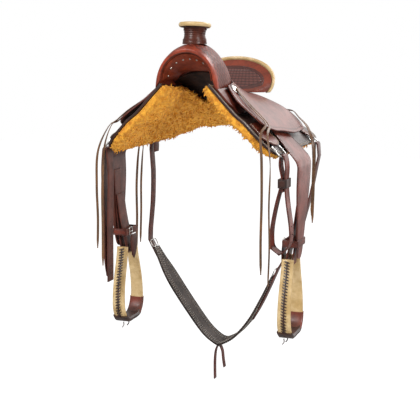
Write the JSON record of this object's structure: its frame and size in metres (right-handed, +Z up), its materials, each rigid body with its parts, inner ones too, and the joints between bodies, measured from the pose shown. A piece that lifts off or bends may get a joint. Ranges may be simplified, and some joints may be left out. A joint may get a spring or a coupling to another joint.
{
  "type": "wade_saddle",
  "caption": "Wade saddle with tooled chestnut leather, rawhide binding, golden woolskin, post horn, laced rawhide stirrups and flank cinch",
  "frame": {"origin": "where the saddle rests on the horse's back, on its centre plane between the bars", "axes": "+X the saddle's near (left) side, -Y its front, +Z up"},
  "size_m": [0.6772, 0.6424, 1.2922],
  "materials": {
    "chestnut_leather": "gloss",
    "dark_leather": "satin",
    "golden_wool": "matte",
    "ground_leather": "matte",
    "horn_iron": "matte",
    "nickel": "polished",
    "rawhide": "satin",
    "string_leather": "satin",
    "tree_wood": "matte"
  },
  "bodies": {
    "saddle_body": {"cantle_back": "chestnut_leather", "cantle_binding": "rawhide", "cantle_board": "tree_wood", "cantle_face": "chestnut_leather", "fork_cover": "chestnut_leather", "ground_seat": "ground_leather", "gullet_liner": "chestnut_leather", "horn_binding": "rawhide", "horn_cap": "chestnut_leather", "horn_core": "horn_iron", "horn_wrap": "dark_leather", "near_bar": "tree_wood", "near_front_concho": "nickel", "near_front_dee": "nickel", "near_front_rigging": "chestnut_leather", "near_front_thong": "string_leather", "near_rear_concho": "nickel", "near_rear_dee": "nickel", "near_rear_jockey": "chestnut_leather", "near_rear_rigging": "chestnut_leather", "near_rear_thong": "string_leather", "near_skirt": "dark_leather", "near_woolskin": "golden_wool", "off_bar": "tree_wood", "off_front_concho": "nickel", "off_front_dee": "nickel", "off_front_rigging": "chestnut_leather", "off_front_thong": "string_leather", "off_rear_concho": "nickel", "off_rear_dee": "nickel", "off_rear_jockey": "chestnut_leather", "off_rear_rigging": "chestnut_leather", "off_rear_thong": "string_leather", "off_skirt": "dark_leather", "off_woolskin": "golden_wool", "seat": "chestnut_leather", "tree_fork": "tree_wood"},
    "latigo_body": {"latigo": "chestnut_leather", "latigo_keeper": "dark_leather"},
    "off_billet_body": {"off_billet": "chestnut_leather"},
    "flank_body": {"flank_cinch": "dark_leather", "near_flank_billet": "chestnut_leather", "off_flank_billet": "chestnut_leather", "near_flank_buckle": "nickel", "off_flank_buckle": "nickel", "connecting_strap": "chestnut_leather"},
    "near_fender_body": {"near_fender": "chestnut_leather", "near_stirrup_leather": "dark_leather", "near_hobble_strap": "chestnut_leather", "near_hobble_buckle": "nickel"},
    "near_stirrup_body": {"near_stirrup": "rawhide", "near_tread_wrap": "chestnut_leather", "near_stirrup_bolt": "nickel"},
    "off_fender_body": {"off_fender": "chestnut_leather", "off_stirrup_leather": "dark_leather", "off_hobble_strap": "chestnut_leather", "off_hobble_buckle": "nickel"},
    "off_stirrup_body": {"off_stirrup": "rawhide", "off_tread_wrap": "chestnut_leather", "off_stirrup_bolt": "nickel"}
  },
  "joints": [
    {"name": "near_fender_swing", "type": "hinge", "parent": "saddle_body", "child": "near_fender_body", "pos_m": [0.12592, -0.06, -0.00629], "axis": [0.7314, 0, 0.682], "range_deg": [-3, 10]},
    {"name": "near_stirrup_swing", "type": "hinge", "parent": "near_fender_body", "child": "near_stirrup_body", "pos_m": [0.293, -0.06, -0.545], "axis": [0, -1, 0], "range_deg": [-12, 15]},
    {"name": "off_fender_swing", "type": "hinge", "parent": "saddle_body", "child": "off_fender_body", "pos_m": [-0.12592, -0.06, -0.00629], "axis": [0.7314, 0, -0.682], "range_deg": [-3, 10]},
    {"name": "off_stirrup_swing", "type": "hinge", "parent": "off_fender_body", "child": "off_stirrup_body", "pos_m": [-0.293, -0.06, -0.545], "axis": [0, 1, 0], "range_deg": [-12, 15]},
    {"name": "latigo_swing", "type": "hinge", "parent": "saddle_body", "child": "latigo_body", "pos_m": [0.30124, -0.19, -0.18142], "axis": [0, -1, 0], "range_deg": [-2, 25]},
    {"name": "off_billet_swing", "type": "hinge", "parent": "saddle_body", "child": "off_billet_body", "pos_m": [-0.30124, -0.19, -0.18142], "axis": [0, 1, 0], "range_deg": [-2, 25]},
    {"name": "flank_cinch_swing", "type": "hinge", "parent": "saddle_body", "child": "flank_body", "pos_m": [0, 0.212, -0.18435], "axis": [1, 0, 0], "range_deg": [-3, 3]}
  ]
}
